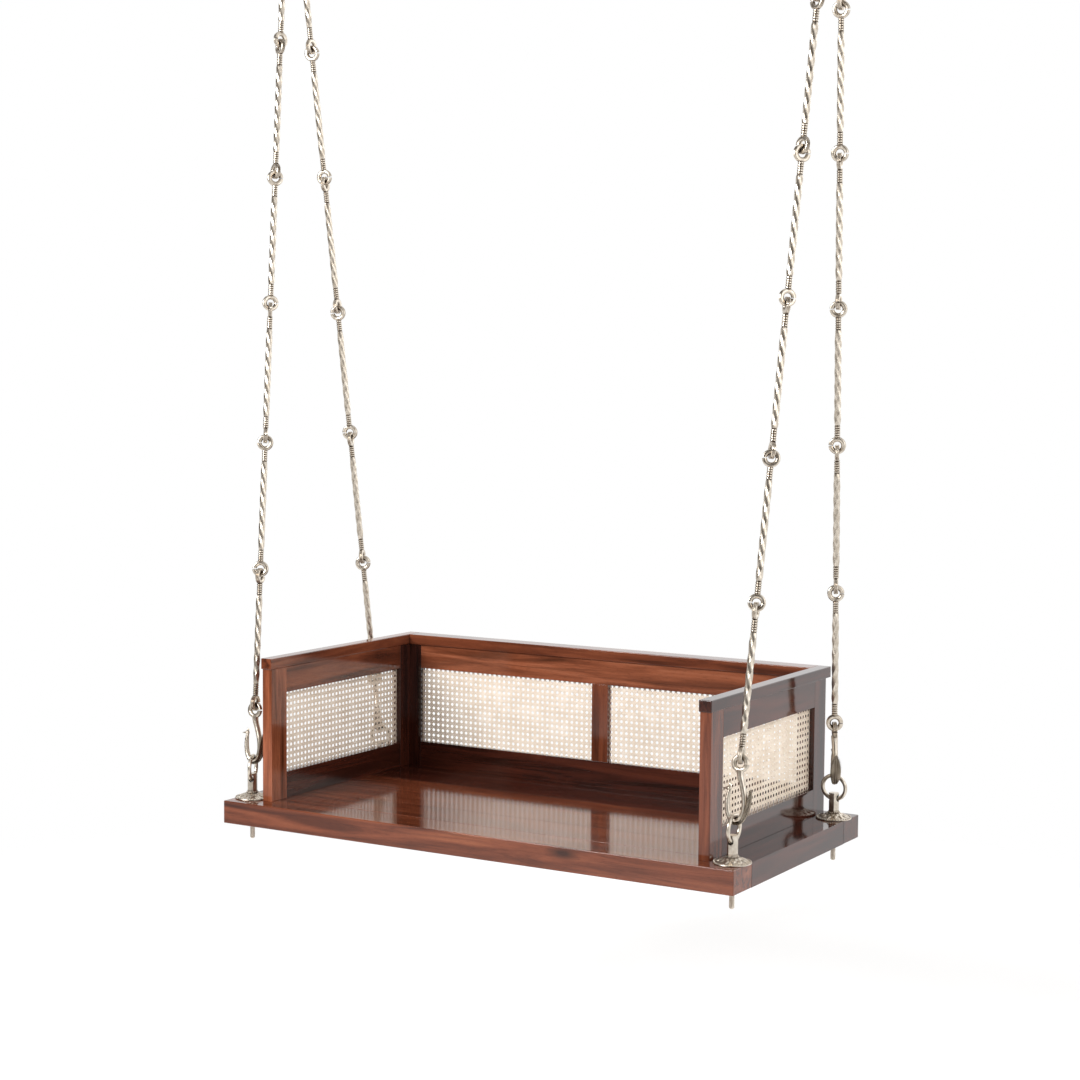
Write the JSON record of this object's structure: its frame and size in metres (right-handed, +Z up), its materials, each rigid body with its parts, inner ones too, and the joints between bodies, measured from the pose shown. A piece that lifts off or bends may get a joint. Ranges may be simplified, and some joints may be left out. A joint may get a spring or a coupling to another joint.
{
  "type": "porch swing",
  "caption": "Hanging porch swing: thick hardwood seat with a three-sided cane gallery, hung at its corners by ornate link chains from two ceiling brackets.",
  "frame": {"origin": "on the ceiling, midway between the two brackets, at the middle of their four bolt holes", "axes": "+X along the seat, to the left of a person sitting on it, +Y to the back panel, +Z up to the ceiling"},
  "size_m": [1.354, 0.604, 2.218],
  "materials": {
    "rosewood": "lacquered sheesham, semi-gloss",
    "cane": "bleached woven rattan cane",
    "nickel": "warm nickel plate, polished",
    "zinc": "zinc-plated screws",
    "dowel": "plain beech dowels"
  },
  "bodies": {
    "root": {"ceiling_bracket_left": "nickel", "ceiling_bracket_right": "nickel", "ceiling_pin_left": "nickel", "ceiling_pin_nuts": "nickel", "ceiling_pin_right": "nickel"},
    "top_rings": {"top_ring_left": "nickel", "top_ring_right": "nickel"},
    "left_chains": {"chain_links_back_left": "nickel", "chain_links_front_left": "nickel", "seat_hook_back_left": "nickel", "seat_hook_front_left": "nickel", "seat_ring_back_left": "nickel", "seat_ring_front_left": "nickel", "top_hooks_left": "nickel"},
    "right_chains": {"chain_links_back_right": "nickel", "chain_links_front_right": "nickel", "seat_hook_back_right": "nickel", "seat_hook_front_right": "nickel", "seat_ring_back_right": "nickel", "seat_ring_front_right": "nickel", "top_hooks_right": "nickel"},
    "seat": {"back_bottom_rail": "rosewood", "back_cap": "rosewood", "back_left_cane": "cane", "back_left_stile": "rosewood", "back_middle_stile": "rosewood", "back_right_cane": "cane", "back_right_stile": "rosewood", "back_top_rail": "rosewood", "eye_bolt_back_left": "nickel", "eye_bolt_back_right": "nickel", "eye_bolt_front_left": "nickel", "eye_bolt_front_right": "nickel", "eye_bolt_nuts": "nickel", "eye_bolt_washers": "nickel", "frame_dowels": "dowel", "left_back_post": "rosewood", "left_bottom_rail": "rosewood", "left_cane": "cane", "left_cap": "rosewood", "left_front_post": "rosewood", "left_top_rail": "rosewood", "lotus_flanges": "nickel", "post_screws": "zinc", "right_back_post": "rosewood", "right_bottom_rail": "rosewood", "right_cane": "cane", "right_cap": "rosewood", "right_front_post": "rosewood", "right_top_rail": "rosewood", "seat_back_rail": "rosewood", "seat_battens": "rosewood", "seat_front_rail": "rosewood", "seat_left_rail": "rosewood", "seat_plank_1": "rosewood", "seat_plank_2": "rosewood", "seat_plank_3": "rosewood", "seat_plank_4": "rosewood", "seat_right_rail": "rosewood"}
  },
  "joints": [
    {"name": "swing", "type": "hinge", "parent": "root", "child": "top_rings", "pos_m": [0, 0, -0.058], "axis": [1, 0, 0], "range_deg": [-30, 30]},
    {"name": "left_sway", "type": "hinge", "parent": "top_rings", "child": "left_chains", "pos_m": [-0.647, 0, -0.1187], "axis": [0, 1, 0], "range_deg": [-6, 6]},
    {"name": "seat_level", "type": "hinge", "parent": "left_chains", "child": "seat", "pos_m": [-0.569, 0, -2.09], "axis": [0, 1, 0], "range_deg": [-6.9, 6.9]},
    {"name": "right_sway", "type": "hinge", "parent": "top_rings", "child": "right_chains", "pos_m": [0.647, 0, -0.1187], "axis": [0, 1, 0], "range_deg": [-6.1, 6.1]}
  ],
  "couplings": [
    {"joint": "seat_level", "follows": "left_sway", "ratio": -1.1371},
    {"joint": "right_sway", "follows": "left_sway", "ratio": 1}
  ]
}
